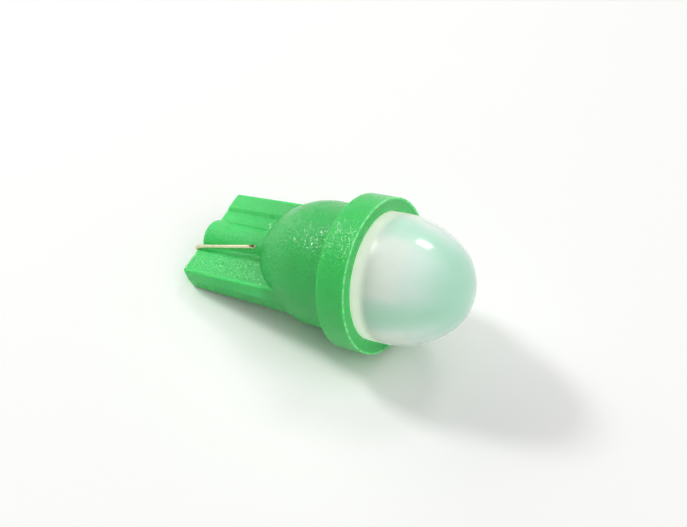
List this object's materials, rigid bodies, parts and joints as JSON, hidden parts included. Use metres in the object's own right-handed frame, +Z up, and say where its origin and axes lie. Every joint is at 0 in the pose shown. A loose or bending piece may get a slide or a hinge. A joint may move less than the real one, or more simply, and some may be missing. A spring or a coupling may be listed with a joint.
{
  "type": "wedge base led lamp",
  "caption": "Small LED lamp with a flat wedge base, a stepped green plastic housing with a round collar, and a milky glossy dome lens over a surface mount LED",
  "frame": {"origin": "on the surface that the lamp lies on, under the middle of its overall box", "axes": "+Z up; the lamp lies along X with the dome toward +X and the wedge toward -X, its axis pitched up at the dome end; Y runs across it"},
  "size_m": [0.0256, 0.013, 0.0132],
  "materials": {
    "housing": "translucent spark textured moulding",
    "dome": "milky, glossy outside",
    "board": "white coated glass epoxy",
    "copper": "bare copper, satin",
    "led_package": "white moulding",
    "lead_frame": "silver plated, satin",
    "die": "polished",
    "gold": "bright",
    "silicone": "clear, glossy",
    "solder": "satin",
    "alumina": "matte",
    "resistor_film": "glossy overcoat",
    "tinned_wire": "dull tin"
  },
  "bodies": {
    "root": {"housing": "housing", "dome_lens": "dome", "circuit_board": "board", "copper_supply": "copper", "copper_feed": "copper", "copper_link_low": "copper", "copper_link_high": "copper", "copper_return": "copper", "led_package": "led_package", "led_lead_1": "lead_frame", "led_lead_2": "lead_frame", "led_lead_3": "lead_frame", "led_lead_4": "lead_frame", "led_lead_5": "lead_frame", "led_lead_6": "lead_frame", "led_die_1": "die", "led_die_2": "die", "led_die_3": "die", "bond_wire_1": "gold", "bond_wire_2": "gold", "bond_wire_3": "gold", "bond_wire_4": "gold", "bond_wire_5": "gold", "bond_wire_6": "gold", "led_encapsulant": "silicone", "led_solder_1": "solder", "led_solder_2": "solder", "led_solder_3": "solder", "led_solder_4": "solder", "led_solder_5": "solder", "led_solder_6": "solder", "resistor_core": "alumina", "resistor_film": "resistor_film", "resistor_end_1": "lead_frame", "resistor_end_2": "lead_frame", "resistor_solder_1": "solder", "resistor_solder_2": "solder", "lead_wire_a": "tinned_wire", "lead_wire_b": "tinned_wire", "wire_solder_a": "solder", "wire_solder_b": "solder"}
  },
  "joints": []
}
